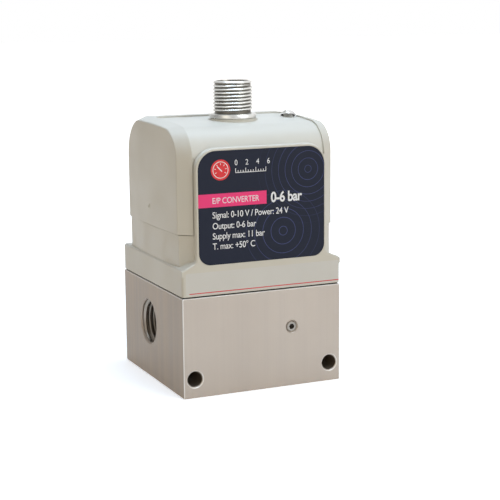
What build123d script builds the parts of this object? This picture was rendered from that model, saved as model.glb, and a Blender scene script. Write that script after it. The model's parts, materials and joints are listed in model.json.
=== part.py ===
from build123d import *

import math
import os

# Electro-pneumatic converter: a square aluminium valve block under a moulded housing.
# Millimetres. The origin is the centre of the block's underside.
# +X runs to the right along the front, +Y to the back and +Z up.

# Running and seating clearances
slip = 0.1
seat_gap = 0.03
slide_fit = 0.06
seal_ease = 0.02
cutter_over = 0.5
screw_tip_gap = 0.5

# Valve block
block_side = 50.0
block_height = 29.2
block_edge = 0.15
mount_hole_from_side = 3.5
mount_hole_height = 5.5
mount_hole_radius = 2.25
mount_hole_chamfer = 0.35

# Gasket between the block and the housing
gasket_thick = 0.45
gasket_inset = 0.5

# Valve axis and the stepped bore along it, measured down from the block's top
valve_y = 3.9
bowl_rim_margin = 1.3
bowl_depth = 4.5
outlet_radius = 7.6
outlet_depth = 6.4
web_thick = 2.1
chamber_radius = 8.6
seat_bore_radius = 4.4
seat_lip_height = 0.7
seat_lip_width = 1.0

# Threaded air ports, cut to the thread's root
port_above_web = 0.7
port_root_radius = 6.58
port_depth = 12.0
port_chamfer = 0.45
inlet_passage_radius = 3.4
inlet_passage_drop = 4.5
outlet_passage_radius = 2.8
outlet_passage_rise = 3.7

# Poppet
stem_radius = 2.9
stem_hollow_radius = 1.6
stem_below_guide = 4.0
head_radius = 7.0
head_thick = 2.6
poppet_stroke = 1.2
poppet_margin = 0.67
stem_seal_wire = 0.55
poppet_pad_thick = 1.5
poppet_pad_radius = 6.4
poppet_spring_wire = 0.4

# Bottom plug with the exhaust port
plug_radius = 10.5
plug_recess = 0.3
plug_seal_wire = 0.9
plug_slot_width = 3.0
plug_slot_depth = 1.2
guide_radius = 5.3
guide_length = 2.8
exhaust_root_radius = 4.86
exhaust_roof = 2.6

# Diaphragm and piston
diaphragm_thick = 0.6
diaphragm_rim_thick = 0.8
diaphragm_rim_width = 2.6
diaphragm_web_depth = 1.6
roll_clearance = 0.8
roll_width = 3.4
piston_plate_margin = 1.0
piston_plate_thick = 1.2
piston_plate_lip = 1.0
piston_tip_radius = 2.5
piston_stud_radius = 1.5
piston_nut_across = 5.5
piston_nut_thick = 2.0

# Small test plug in the block's front
test_plug_from_tie = 7.0
test_plug_above_port = 0.9
test_plug_radius = 1.6
test_plug_length = 5.0
test_plug_recess = 0.15
test_plug_edge = 0.25
test_plug_sink = 0.4
test_plug_hex = 1.5
test_bore_depth = 9.0
drill_radius = 0.9
supply_feed_from_side = 3.5

# Tie screws that clamp block, housing and cover from below
tie_from_side = 8.8
tie_from_front = 6.4
tie_from_back = 5.4
tie_radius = 1.5
tie_head_radius = 2.75
tie_head_thick = 3.0
tie_head_recess = 0.4
tie_thread_into_cover = 7.0
tie_hex = 2.5
post_radius = 3.1

# Housing plan: flat front and back, a facet at each corner, bowed sides
skin_inset = 1.7
facet_width = 3.7
facet_setback = 3.0
end_inset = 0.6
bow_inset = 0.05

# Moulded base housing
flange_height = 7.45
flange_edge = 0.8
flange_slope = 0.45
deck_thick = 2.9
deck_below_flange = 0.6
channel_radius = 0.7
neck_inset = 0.45
neck_wall = 2.1
neck_height = 9.8
cover_seal_inset = 0.9
parting_gap = 0.25
lip_height = 3.2
lip_thick = 1.2
tongue_side_gap = 0.2
tongue_thick = 2.0
tongue_corner = 6.2
tongue_edge = 0.5
shoulder_slope = 2.15
shoulder_low_rise = 0.1
shoulder_round = 1.6

# Upper cover
cover_height = 31.25
cover_wall = 1.9
recess_depth = 0.45
recess_back_y = 7.5
recess_corner = 3.0
crown_y = 6.0
crown_radius = 220.0
cover_corner = 9.5
cover_back_corner = 11.0
end_drop = 0.75
end_corner = 8.5
end_back_corner = 12.0
end_round = 0.5

# Front label plate, seated flush in the tongue
tongue_below_crown = 6.75
label_margin = 0.7
label_top_margin = 0.8
label_low_drop = 1.05
label_top_corner = 5.4
label_low_corner = 3.6
label_thick = 0.3

# Round plug connector on top
connector_y = -4.4
connector_pad_radius = 7.3
connector_pad_drop = 0.35
connector_flange_radius = 6.9
connector_flange_thick = 1.6
connector_flange_edge = 0.4
connector_thread_radius = 5.93
connector_root = 0.5
connector_relief = 0.3
connector_relief_height = 0.2
connector_height = 11.1
connector_socket_radius = 4.85
connector_bevel = 0.9
connector_shank_length = 8.3
insert_face_depth = 8.5
insert_lining = 0.5
insert_lining_drop = 0.5
insert_recess = 0.5
insert_seal_depth = 2.5
pin_radius = 0.5
pin_circle = 2.5
pin_count = 4
pin_tip_below_rim = 2.4
nut_across = 16.0
nut_thick = 2.4
connector_seal_wire = 0.6

# Status lens and lamp
lens_from_side = 7.0
lens_y = -4.6
lens_radius = 2.6
lens_rise = 2.0
lens_rod_radius = 1.5
lamp_height = 1.6
lamp_side = 2.6
lamp_gap = 0.5

# Circuit board and what is soldered to it
board_below_crown = 17.15
board_thick = 1.6
board_from_side = 4.8
board_from_front = 10.2
board_from_back = 9.2
standoff_inset = 2.6
standoff_back_inset = 3.2
standoff_radius = 1.9
board_screw_radius = 0.9
board_screw_length = 6.0
board_screw_head = 1.1
chip_side = 7.0
chip_thick = 1.3
chip_spacing = 10.5
driver_deep = 5.0
driver_wide = 4.0
capacitor_radius = 2.5
capacitor_height = 5.5

# Pilot solenoid valves
pilot_gap = 7.0
pilot_behind_sensor = 1.8
pilot_base_x = 12.0
pilot_base_y = 14.0
pilot_base_height = 5.5
pilot_base_round = 0.8
pilot_way_low = 0.8
pilot_way_high = 2.1
yoke_width = 9.0
yoke_half = 6.0
yoke_thick = 1.2
yoke_below_board = 3.4
coil_radius = 4.6
coil_cheek = 0.8
coil_winding_drop = 0.5
core_radius = 2.0
core_length = 6.6
core_head_thick = 0.6
plunger_stroke = 0.5
plunger_low = 2.6
nozzle_radius = 1.0
nozzle_bore = 0.4
cross_bore = 0.3
pilot_spring_radius = 1.1
pilot_spring_wire = 0.3
pilot_spring_pocket = 1.2
plunger_pocket = 3.0
pilot_screw_radius = 0.8
pilot_screw_reach = 2.0
pilot_screw_tip_gap = 0.3
pilot_screw_inset_x = 1.8
pilot_screw_inset_y = 1.3
pilot_screw_head = 0.8

# Pressure sensor on the deck
sensor_behind_tie = 2.8
sensor_side = 6.8
sensor_height = 4.5
sensor_foot = 0.4
sensor_round = 0.6
sensor_bore = 0.5
sensor_nozzle_radius = 1.3
sensor_nozzle_length = 2.0
sensor_seal_wire = 0.4
sensor_lead_radius = 0.25
sensor_lead_inset = 0.8
sensor_lead_shift = 0.2
sensor_lead_start = 1.0

# Places and heights that follow from the values above
half_side = block_side / 2
bottom = (Align.CENTER, Align.CENTER, Align.MIN)
mount_x = half_side - mount_hole_from_side

diaphragm_rim_radius = half_side - valve_y - bowl_rim_margin
gasket_window_radius = diaphragm_rim_radius + diaphragm_thick
bowl_radius = diaphragm_rim_radius - diaphragm_rim_width
roll_outer_radius = bowl_radius - roll_clearance
roll_inner_radius = roll_outer_radius - roll_width
piston_plate_radius = roll_inner_radius - piston_plate_margin
piston_web_height = block_height - diaphragm_web_depth
bowl_floor = block_height - bowl_depth
web_top = bowl_floor - outlet_depth
chamber_top = web_top - web_thick
port_height = chamber_top + port_above_web
inlet_passage_height = port_height - inlet_passage_drop
outlet_passage_height = port_height + outlet_passage_rise

poppet_top = chamber_top - seat_lip_height - seat_gap
head_low = poppet_top - head_thick
piston_low = poppet_top + seat_gap
guide_top = head_low - poppet_stroke - poppet_margin
stem_bottom = guide_top - stem_below_guide
stem_seal_height = guide_top - 3 * stem_seal_wire
plug_top = guide_top - guide_length
plug_seal_height = plug_top - 2 * plug_seal_wire
exhaust_depth = plug_top - exhaust_roof

tie_x = half_side - tie_from_side
tie_front_y = tie_from_front - half_side
tie_back_y = half_side - tie_from_back
tie_points = [(side * tie_x, y) for y in (tie_front_y, tie_back_y) for side in (-1, 1)]
test_plug_x = tie_x - test_plug_from_tie
test_plug_height = port_height + test_plug_above_port
feed_y = tie_front_y + sensor_behind_tie
pilot_x = (pilot_base_x + pilot_gap) / 2
pilot_y = feed_y + sensor_side / 2 + pilot_behind_sensor + pilot_base_y / 2
supply_feed_x = supply_feed_from_side - half_side
supply_feed_y = pilot_y + pilot_base_y / 4

skin_front = half_side - skin_inset
facet_corner_x = half_side - end_inset
facet_corner_y = skin_front - facet_setback
flat_half = facet_corner_x - facet_width
side_bow_x = half_side - bow_inset
recess_half = flat_half - tongue_side_gap / 4
tongue_half = recess_half - tongue_side_gap
tongue_front = half_side
tongue_back = tongue_front - tongue_thick

housing_low = block_height + gasket_thick
flange_top = housing_low + flange_height
deck_top = flange_top - deck_below_flange
deck_low = deck_top - deck_thick
parting_height = flange_top + neck_height
crown_height = parting_height + cover_height
shoulder_low = flange_top + shoulder_low_rise
shoulder_high = shoulder_low + shoulder_slope
tongue_top = crown_height - tongue_below_crown
label_half = tongue_half - label_margin
label_low = shoulder_high - label_low_drop
label_high = tongue_top - label_top_margin

connector_pad_height = crown_height - connector_pad_drop
connector_top = connector_pad_height + connector_height
connector_shank_low = connector_pad_height - connector_shank_length
insert_face = connector_top - insert_face_depth
insert_low = connector_shank_low + insert_recess
lens_x = half_side - lens_from_side

board_low = crown_height - board_below_crown
board_top = board_low + board_thick
board_half_x = half_side - board_from_side
board_front_y = board_from_front - half_side
board_back_y = half_side - board_from_back
standoff_x = board_half_x - standoff_inset
standoff_front_y = board_front_y + standoff_inset
standoff_back_y = board_back_y - standoff_back_inset
standoff_points = [(side * standoff_x, y) for y in (standoff_front_y, standoff_back_y) for side in (-1, 1)]
yoke_height = board_low - yoke_below_board - deck_top - pilot_base_height


def rod(radius, low, high, at=(0, 0)):
    """Upright round bar between two heights."""
    return Pos(at[0], at[1], low) * Cylinder(radius, high - low, align=bottom)


def tube(outer, inner, low, high, at=(0, 0)):
    """Upright round tube between two heights."""
    return rod(outer, low, high, at) - rod(inner, low - 1, high + 1, at)


def slab(x_low, x_high, y_low, y_high, z_low, z_high):
    """Rectangular block given by its six faces."""
    centre = ((x_low + x_high) / 2, (y_low + y_high) / 2, (z_low + z_high) / 2)
    return Pos(*centre) * Box(x_high - x_low, y_high - y_low, z_high - z_low)


def bar_x(radius, x_low, x_high, y, z):
    """Round bar along X."""
    return Pos((x_low + x_high) / 2, y, z) * Rot(0, 90, 0) * Cylinder(radius, abs(x_high - x_low))


def bar_y(radius, y_low, y_high, x, z):
    """Round bar along Y."""
    return Pos(x, (y_low + y_high) / 2, z) * Rot(90, 0, 0) * Cylinder(radius, abs(y_high - y_low))


def turned(points, at=(0, 0)):
    """Solid turned about an upright axis from (radius, height) points."""
    face = make_face(Plane.XZ * Polyline(*points, close=True))
    return Pos(at[0], at[1], 0) * revolve(face, Axis.Z)


def ring(radius, wire, height, at=(0, 0)):
    """Round-section sealing ring that lies level."""
    return Pos(at[0], at[1], height) * Torus(radius, wire)


def hexagon(across, low, high, at=(0, 0)):
    """Upright hexagonal bar given across its flats."""
    face = Plane.XY.offset(low) * Pos(at[0], at[1], 0) * RegularPolygon(across / math.sqrt(3), 6)
    return extrude(face, high - low)


def coil_spring(radius, wire, low, high, turns, at=(0, 0)):
    """Open helical spring whose wire stays between two heights."""
    rise = high - low - 2 * wire
    path = Helix(pitch=rise / turns, height=rise, radius=radius)
    section = Plane(origin=path @ 0, z_dir=path % 0) * Circle(wire)
    return Pos(at[0], at[1], low + wire) * sweep(section, path)


def bore_y(radius, x, z, chamfer):
    """Cutter for a hole along Y through the block, with a chamfer at both mouths."""
    half = half_side
    cutter = bar_y(radius, -half - 1, half + 1, x, z)
    for side in (-1, 1):
        cone = Cone(radius + chamfer + cutter_over, radius, chamfer + cutter_over, align=bottom)
        cutter += Pos(x, side * (half + cutter_over), z) * Rot(side * 90, 0, 0) * cone
    return cutter


def port_cutter(side):
    """Cutter for one side port: thread root, mouth chamfer and the passage to the valve."""
    half = half_side
    floor = half - port_depth
    cutter = bar_x(port_root_radius, side * floor, side * (half + 1), valve_y, port_height)
    deep = port_chamfer + cutter_over
    cone = Cone(port_root_radius + deep, port_root_radius, deep, align=bottom)
    cutter += Pos(side * (half + cutter_over), valve_y, port_height) * Rot(0, -side * 90, 0) * cone
    if side < 0:
        cutter += bar_x(inlet_passage_radius, -floor - 1, 0, valve_y, inlet_passage_height)
    else:
        cutter += bar_x(outlet_passage_radius, 0, floor + 1, valve_y, outlet_passage_height)
    return cutter


def make_body_block():
    """Square bar block with ports, stepped valve bore, diaphragm bowl and screw holes."""
    half = half_side
    axis = (0, valve_y)
    block = slab(-half, half, -half, half, 0, block_height)
    block = chamfer(block.edges(), block_edge)
    lip = tube(seat_bore_radius + seat_lip_width, seat_bore_radius, chamber_top - seat_lip_height,
               chamber_top, axis)
    block -= port_cutter(-1) + port_cutter(1)
    block -= rod(plug_radius, -1, plug_top, axis)
    block -= rod(chamber_radius, 0, chamber_top, axis)
    block += lip
    block -= rod(seat_bore_radius, chamber_top - 2, web_top + 1, axis)
    block -= rod(outlet_radius, web_top, bowl_floor + 1, axis)
    block -= rod(bowl_radius, bowl_floor, block_height + 1, axis)
    block -= rod(diaphragm_rim_radius + slip, block_height - diaphragm_rim_thick, block_height + 1, axis)
    for side in (-1, 1):
        block -= bore_y(mount_hole_radius, side * mount_x, mount_hole_height, mount_hole_chamfer)
    for point in tie_points:
        block -= rod(tie_radius + slip, -1, block_height + 1, point)
        block -= rod(tie_head_radius + slip, -1, tie_head_recess + tie_head_thick, point)
    block -= bar_y(test_plug_radius, -half - 1, -half + test_bore_depth, test_plug_x, test_plug_height)
    deep = test_plug_sink + cutter_over
    sink = Cone(test_plug_radius + deep, test_plug_radius, deep, align=bottom)
    block -= Pos(test_plug_x, -half - cutter_over, test_plug_height) * Rot(-90, 0, 0) * sink
    block -= bar_y(drill_radius, -half, valve_y, test_plug_x, test_plug_height)
    block -= rod(drill_radius, test_plug_height, block_height + 1, (test_plug_x, feed_y))
    block -= rod(drill_radius, port_height, block_height + 1, (supply_feed_x, supply_feed_y))
    return block


def make_seal_gasket():
    """Flat gasket with a round window for the diaphragm and holes for screws and air."""
    half = half_side - gasket_inset
    gasket = slab(-half, half, -half, half, block_height, housing_low)
    gasket -= rod(gasket_window_radius, block_height - 1, housing_low + 1, (0, valve_y))
    for point in tie_points:
        gasket -= rod(tie_radius + slip, block_height - 1, housing_low + 1, point)
    for point in ((test_plug_x, feed_y), (supply_feed_x, supply_feed_y)):
        gasket -= rod(drill_radius, block_height - 1, housing_low + 1, point)
    return gasket


def make_test_plug():
    """Headless socket screw that closes the small drilling in the front."""
    front = test_plug_recess - half_side
    screw = bar_y(test_plug_radius, front, front + test_plug_length, test_plug_x, test_plug_height)
    screw = chamfer(screw.edges().sort_by(Axis.Y)[0], test_plug_edge)
    key = extrude(RegularPolygon(test_plug_hex / math.sqrt(3), 6), test_plug_length / 2)
    return screw - Pos(test_plug_x, front, test_plug_height) * Rot(-90, 0, 0) * key


def make_bottom_plug():
    """Turned plug with the exhaust port below and the stem guide above."""
    groove_depth = 2 * plug_seal_wire
    points = [
        (stem_radius + slide_fit, exhaust_depth + plug_recess),
        (exhaust_root_radius, exhaust_depth + plug_recess),
        (exhaust_root_radius, plug_recess),
        (plug_radius, plug_recess),
        (plug_radius, plug_seal_height - plug_seal_wire),
        (plug_radius - groove_depth, plug_seal_height - plug_seal_wire),
        (plug_radius - groove_depth, plug_seal_height + plug_seal_wire),
        (plug_radius, plug_seal_height + plug_seal_wire),
        (plug_radius, plug_top),
        (guide_radius, plug_top),
        (guide_radius, guide_top),
        (stem_radius + slide_fit, guide_top),
        (stem_radius + slide_fit, stem_seal_height + stem_seal_wire),
        (stem_radius + 2 * stem_seal_wire, stem_seal_height + stem_seal_wire),
        (stem_radius + 2 * stem_seal_wire, stem_seal_height - stem_seal_wire),
        (stem_radius + slide_fit, stem_seal_height - stem_seal_wire),
    ]
    plug = turned(points, (0, valve_y))
    reach = plug_radius + 1
    slot_high = plug_recess + plug_slot_depth
    plug -= slab(-reach, reach, valve_y - plug_slot_width / 2, valve_y + plug_slot_width / 2, -1, slot_high)
    return plug


def make_poppet():
    """Hollow valve member: head with a pocket for its seal, and the guided stem."""
    points = [
        (stem_hollow_radius, stem_bottom),
        (stem_radius, stem_bottom),
        (stem_radius, head_low),
        (head_radius, head_low),
        (head_radius, poppet_top - slip),
        (poppet_pad_radius, poppet_top - slip),
        (poppet_pad_radius, poppet_top - poppet_pad_thick),
        (stem_hollow_radius, poppet_top - poppet_pad_thick),
    ]
    return turned(points, (0, valve_y))


def make_poppet_seal():
    """Rubber ring pressed into the poppet's head."""
    low = poppet_top - poppet_pad_thick
    return tube(poppet_pad_radius, stem_hollow_radius, low, poppet_top, (0, valve_y))


def make_piston():
    """Lower diaphragm plate with the tip that opens the poppet and the stud for the nut."""
    plate_low = piston_web_height - piston_plate_thick
    stud_top = piston_web_height + diaphragm_thick + piston_plate_thick + piston_nut_thick + seat_gap
    points = [
        (0, piston_low),
        (piston_tip_radius, piston_low),
        (piston_tip_radius, plate_low - piston_stud_radius),
        (piston_tip_radius + piston_stud_radius, plate_low),
        (piston_plate_radius, plate_low),
        (piston_plate_radius, piston_web_height),
        (piston_stud_radius, piston_web_height),
        (piston_stud_radius, stud_top),
        (0, stud_top),
    ]
    return turned(points, (0, valve_y))


def make_piston_top_plate():
    """Upper diaphragm plate, turned up at its rim."""
    low = piston_web_height + diaphragm_thick
    points = [
        (piston_stud_radius, low),
        (piston_plate_radius, low),
        (piston_plate_radius, low + 2 * piston_plate_thick),
        (piston_plate_radius - piston_plate_lip, low + 2 * piston_plate_thick),
        (piston_plate_radius - 2 * piston_plate_lip, low + piston_plate_thick),
        (piston_stud_radius, low + piston_plate_thick),
    ]
    return turned(points, (0, valve_y))


def make_piston_nut():
    """Hexagon nut that clamps the diaphragm between its plates."""
    low = piston_web_height + diaphragm_thick + piston_plate_thick
    axis = (0, valve_y)
    nut = hexagon(piston_nut_across, low, low + piston_nut_thick, axis)
    return nut - rod(piston_stud_radius, low - 1, low + piston_nut_thick + 1, axis)


def make_diaphragm():
    """Moulded rubber sheet: clamped centre, one rolled convolution and a thick rim."""
    low = piston_web_height
    high = low + diaphragm_thick
    rim_low = block_height - diaphragm_rim_thick
    middle = (roll_inner_radius + roll_outer_radius) / 2
    reach = (roll_outer_radius - roll_inner_radius) / 2
    under = [
        Line((piston_stud_radius, low), (roll_inner_radius, low)),
        ThreePointArc((roll_inner_radius, low), (middle, low - reach), (roll_outer_radius, rim_low)),
        Line((roll_outer_radius, rim_low), (diaphragm_rim_radius, rim_low)),
        Line((diaphragm_rim_radius, rim_low), (diaphragm_rim_radius, housing_low)),
        Line((diaphragm_rim_radius, housing_low), (bowl_radius, housing_low)),
        Line((bowl_radius, housing_low), (bowl_radius, rim_low + diaphragm_thick)),
        Line((bowl_radius, rim_low + diaphragm_thick), (roll_outer_radius - diaphragm_thick / 2,
                                                        rim_low + diaphragm_thick)),
        ThreePointArc((roll_outer_radius - diaphragm_thick / 2, rim_low + diaphragm_thick),
                      (middle, low - reach + diaphragm_thick),
                      (roll_inner_radius + diaphragm_thick / 2, high)),
        Line((roll_inner_radius + diaphragm_thick / 2, high), (piston_stud_radius, high)),
        Line((piston_stud_radius, high), (piston_stud_radius, low)),
    ]
    face = make_face(Plane.XZ * Curve(under))
    return Pos(0, valve_y, 0) * revolve(face, Axis.Z)


def housing_plan(inset):
    """Plan outline of the housing, drawn in by an even distance."""
    corners = [(-flat_half, -skin_front), (flat_half, -skin_front), (facet_corner_x, -facet_corner_y),
               (facet_corner_x, facet_corner_y), (flat_half, skin_front), (-flat_half, skin_front),
               (-facet_corner_x, facet_corner_y), (-facet_corner_x, -facet_corner_y)]
    edges = [
        Line(corners[0], corners[1]),
        Line(corners[1], corners[2]),
        ThreePointArc(corners[2], (side_bow_x, 0), corners[3]),
        Line(corners[3], corners[4]),
        Line(corners[4], corners[5]),
        Line(corners[5], corners[6]),
        ThreePointArc(corners[6], (-side_bow_x, 0), corners[7]),
        Line(corners[7], corners[0]),
    ]
    face = make_face(Curve(edges))
    if inset > 0:
        face = offset(face, -inset, kind=Kind.INTERSECTION)
    return face


def prism(face, low, high):
    """Upright prism of a plan face between two heights."""
    return extrude(Pos(0, 0, low) * face, high - low)


def crown_at(y, top):
    """Height of the crowned top at a depth y."""
    return top - crown_radius + math.sqrt(crown_radius ** 2 - (y - crown_y) ** 2)


def side_section(x, front, back, top, corner, back_corner):
    """Section of the cover across X: upright front and back, crowned top, round corners."""
    low = parting_height
    front_high = crown_at(front, top)
    back_high = crown_at(back, top)
    edges = [
        Line((front, low), (front, front_high)),
        ThreePointArc((front, front_high), (crown_y, top), (back, back_high)),
        Line((back, back_high), (back, low)),
        Line((back, low), (front, low)),
    ]
    face = make_face(Curve(edges))
    face = fillet([v for v in face.vertices() if v.Y > low + 1 and v.X < 0], corner)
    face = fillet([v for v in face.vertices() if v.Y > low + 1 and v.X > back - 1], back_corner)
    return Plane.YZ.offset(x) * face


def cover_form(inset):
    """Outer form of the cover, or the same form drawn in by a wall."""
    run = side_bow_x + facet_width / 8 - flat_half
    front = skin_front - inset
    far_front = front - facet_setback * run / facet_width
    top = crown_height - inset
    far_top = top - end_drop * run / facet_width
    half = flat_half - inset / 2
    near = (cover_corner - inset, cover_back_corner - inset)
    far = (end_corner - inset, end_back_corner - inset)
    sections = [
        side_section(-half - run, -far_front, far_front, far_top, *far),
        side_section(-half, -front, front, top, *near),
        side_section(half, -front, front, top, *near),
        side_section(half + run, -far_front, far_front, far_top, *far),
    ]
    body = loft(sections, ruled=True)
    bow = side_bow_x - inset
    end = facet_corner_x - inset
    reach = skin_front + 1
    sweep_x = bow - (bow - end) * (reach / facet_corner_y) ** 2
    edges = [
        Line((-sweep_x, -reach), (sweep_x, -reach)),
        ThreePointArc((sweep_x, -reach), (bow, 0), (sweep_x, reach)),
        Line((sweep_x, reach), (-sweep_x, reach)),
        ThreePointArc((-sweep_x, reach), (-bow, 0), (-sweep_x, -reach)),
    ]
    ends = prism(make_face(Curve(edges)), parting_height - 1, crown_height + 1)
    body = body & ends
    if inset > 0:
        return body
    arch = [e for e in body.edges() if abs(e.center().X) > facet_corner_x - end_round
            and e.center().Z > parting_height + 1]
    return fillet(arch, end_round)


def tongue_outline():
    """Front view of the tongue with its shoulders, on the X and Z axes."""
    flange_half = half_side
    points = [
        (-flange_half, deck_top - 1),
        (-flange_half, shoulder_low),
        (-tongue_half, shoulder_high),
        (-tongue_half, tongue_top),
        (tongue_half, tongue_top),
        (tongue_half, shoulder_high),
        (flange_half, shoulder_low),
        (flange_half, deck_top - 1),
    ]
    face = make_face(Polyline(*points, close=True))
    face = fillet([v for v in face.vertices() if v.Y > tongue_top - 1], tongue_corner)
    return fillet([v for v in face.vertices() if abs(v.Y - shoulder_high) < 0.01], shoulder_round)


def label_outline(clearance):
    """Front view of the label plate, or of its pocket with a clearance."""
    half = label_half + clearance
    points = [
        (-half, label_low - clearance),
        (-half, label_high + clearance),
        (half, label_high + clearance),
        (half, label_low - clearance),
    ]
    face = make_face(Polyline(*points, close=True))
    middle = (label_low + label_high) / 2
    face = fillet([v for v in face.vertices() if v.Y > middle], label_top_corner)
    return fillet([v for v in face.vertices() if v.Y < label_low + 1], label_low_corner)


def front_slab(face, y_front, y_back):
    """Front-view face carried back along Y from one depth to another."""
    return extrude(Plane.XZ.offset(-y_front) * face, y_front - y_back)


def make_tongue():
    """Front tongue that carries the label and stands in the cover's recess."""
    outline = tongue_outline()
    plate = front_slab(outline, -tongue_front, -tongue_back)
    front_edges = plate.edges().filter_by(lambda e: abs(e.center().Y + tongue_front) < 0.01)
    rounded = [e for e in front_edges if e.center().Z > shoulder_high]
    plate = fillet(rounded, tongue_edge)
    low_part = slab(-block_side, block_side, -block_side, 0, 0, parting_height - parting_gap)
    root = front_slab(outline, -tongue_front + tongue_thick / 2, -facet_corner_y) & low_part
    return plate + root


def make_base_housing():
    """Moulded housing: flange, deck with air channels, neck, lip, posts and front tongue."""
    half = half_side
    neck_top = parting_height - parting_gap
    flange = slab(-half, half, -half, half, housing_low, flange_top + flange_slope)
    upright = flange.edges().filter_by(Axis.Z)
    flange = fillet(upright, flange_edge)
    flange = chamfer(flange.edges().filter_by(lambda e: e.center().Z > flange_top), flange_slope)
    neck = prism(housing_plan(neck_inset), flange_top - 1, neck_top)
    lip = prism(housing_plan(neck_inset + neck_wall), deck_top, neck_top + lip_height)
    for point in tie_points:
        lip -= rod(post_radius + 2 * slip, neck_top, neck_top + lip_height + 1, point)
    base = flange + neck + lip + make_tongue()
    base -= prism(housing_plan(neck_inset + neck_wall + lip_thick), deck_top, neck_top + lip_height + 1)
    base -= rod(bowl_radius, housing_low - 1, deck_low, (0, valve_y))
    for point in tie_points:
        base += rod(post_radius, deck_top - 1, neck_top, point)
    for point in standoff_points:
        base += rod(standoff_radius, deck_top - 1, board_low, point)
    for point in tie_points:
        base -= rod(tie_radius + slip, housing_low - 1, neck_top + 1, point)
    for point in standoff_points:
        base -= rod(board_screw_radius, board_low - board_screw_length, board_low + 1, point)
    base -= front_slab(label_outline(slip / 2), -tongue_front - 1, -tongue_front + label_thick)
    return base - deck_channels()


def deck_channels():
    """Cutters for the air channels through the deck and for the pilot valve screws."""
    channel_height = deck_top - deck_thick / 2
    vent_y = pilot_y - pilot_base_y / 4
    bore = channel_radius
    cutters = rod(bore, housing_low - 1, channel_height, (supply_feed_x, supply_feed_y))
    cutters += bar_x(bore, supply_feed_x - bore, -pilot_x + bore, supply_feed_y, channel_height)
    cutters += rod(bore, channel_height, deck_top + 1, (-pilot_x, supply_feed_y))
    cutters += rod(bore, deck_low - 1, deck_top + 1, (-pilot_x, vent_y))
    cutters += rod(bore, deck_low - 1, deck_top + 1, (pilot_x, supply_feed_y))
    cutters += rod(bore, channel_height, deck_top + 1, (pilot_x, vent_y))
    cutters += bar_x(bore, pilot_x - bore, block_side, vent_y, channel_height)
    cutters += rod(drill_radius, housing_low - 1, deck_top + 1, (test_plug_x, feed_y))
    nozzle_bottom = deck_top - sensor_nozzle_length - slip
    socket = sensor_nozzle_radius + 2 * sensor_seal_wire
    cutters += rod(socket, nozzle_bottom, deck_top + 1, (test_plug_x, feed_y))
    for point in pilot_screw_points():
        cutters += rod(pilot_screw_radius, deck_top - pilot_screw_reach, deck_top + 1, point)
    return cutters


def recess_core():
    """Form that is left inside the stepped recess of the cover's front and top."""
    front = skin_front - recess_depth
    section = side_section(-block_side, -front, front, crown_height - recess_depth,
                           cover_corner - recess_depth, cover_back_corner - recess_depth)
    return extrude(section, 2 * block_side)


def make_cover_shell():
    """Upper cover: faceted outside, recessed front and top, posts for the tie screws."""
    cover = cover_form(0)
    core = recess_core()
    zone = slab(-recess_half, recess_half, -block_side, recess_back_y, parting_height - 1, crown_height + 1)
    back_corners = [e for e in zone.edges().filter_by(Axis.Z) if e.center().Y > 0]
    zone = fillet(back_corners, recess_corner)
    cover -= zone - core
    cover += rod(connector_pad_radius, connector_pad_height - 3, connector_pad_height, (0, connector_y))
    cover -= cover_form(recess_depth + cover_wall)
    cover -= prism(housing_plan(recess_depth + cover_wall), parting_height - 1, parting_height + lip_height)
    roof = cover_form(recess_depth + cover_wall / 2)
    posts = rod(post_radius, parting_height, crown_height, tie_points[0])
    for point in tie_points[1:]:
        posts += rod(post_radius, parting_height, crown_height, point)
    cover += posts & roof
    for point in tie_points:
        cover -= rod(tie_radius, parting_height - 1, parting_height + tie_thread_into_cover, point)
    cover -= rod(connector_thread_radius + slip, connector_shank_low, crown_height + 1, (0, connector_y))
    cover -= rod(lens_rod_radius + slip, connector_shank_low, crown_height + 1, (lens_x, lens_y))
    return cover


def make_cover_seal():
    """Flat cord seal that lies on the neck around the lip."""
    low = parting_height - parting_gap
    outer = prism(housing_plan(neck_inset + cover_seal_inset), low, parting_height)
    seal = outer - prism(housing_plan(neck_inset + neck_wall), low - 1, parting_height + 1)
    for point in tie_points:
        seal -= rod(tie_radius + slip, low - 1, parting_height + 1, point)
    return seal


def make_front_label():
    """Printed plate seated flush in the tongue's pocket."""
    return front_slab(label_outline(0), -tongue_front, -tongue_front + label_thick)


def make_tie_screws():
    """Four socket screws that clamp block, housing and cover."""
    head_top = tie_head_recess + tie_head_thick
    tip = parting_height + tie_thread_into_cover - screw_tip_gap
    screws = []
    for point in tie_points:
        screw = rod(tie_head_radius, tie_head_recess, head_top, point) + rod(tie_radius, head_top, tip, point)
        key_top = tie_head_recess + tie_head_thick / 2
        screws.append(screw - hexagon(tie_hex, tie_head_recess - 1, key_top, point))
    return Compound(screws)


def make_connector_shell():
    """Turned metal shell: flange, threaded barrel with a socket, and a shank below the cover."""
    low = connector_pad_height
    flange_high = low + connector_flange_thick
    groove = 2 * connector_seal_wire
    points = [
        (connector_socket_radius, connector_shank_low),
        (connector_thread_radius, connector_shank_low),
        (connector_thread_radius, low - connector_relief_height),
        (connector_thread_radius - connector_relief, low - connector_relief_height),
        (connector_thread_radius - connector_relief, low),
        (connector_flange_radius - connector_relief, low),
        (connector_flange_radius, low + connector_relief),
        (connector_flange_radius, flange_high - connector_flange_edge),
        (connector_flange_radius - connector_flange_edge, flange_high),
        (connector_thread_radius - connector_root, flange_high),
        (connector_thread_radius, flange_high + connector_root),
        (connector_thread_radius, connector_top - connector_bevel),
        (connector_thread_radius - connector_bevel * 0.6, connector_top),
        (connector_socket_radius, connector_top),
    ]
    shell = turned(points, (0, connector_y))
    cord_low = insert_face - insert_seal_depth
    shell -= tube(connector_socket_radius + groove / 2, connector_socket_radius - 1, cord_low,
                  cord_low + 2 * connector_seal_wire, (0, connector_y))
    return shell


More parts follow.
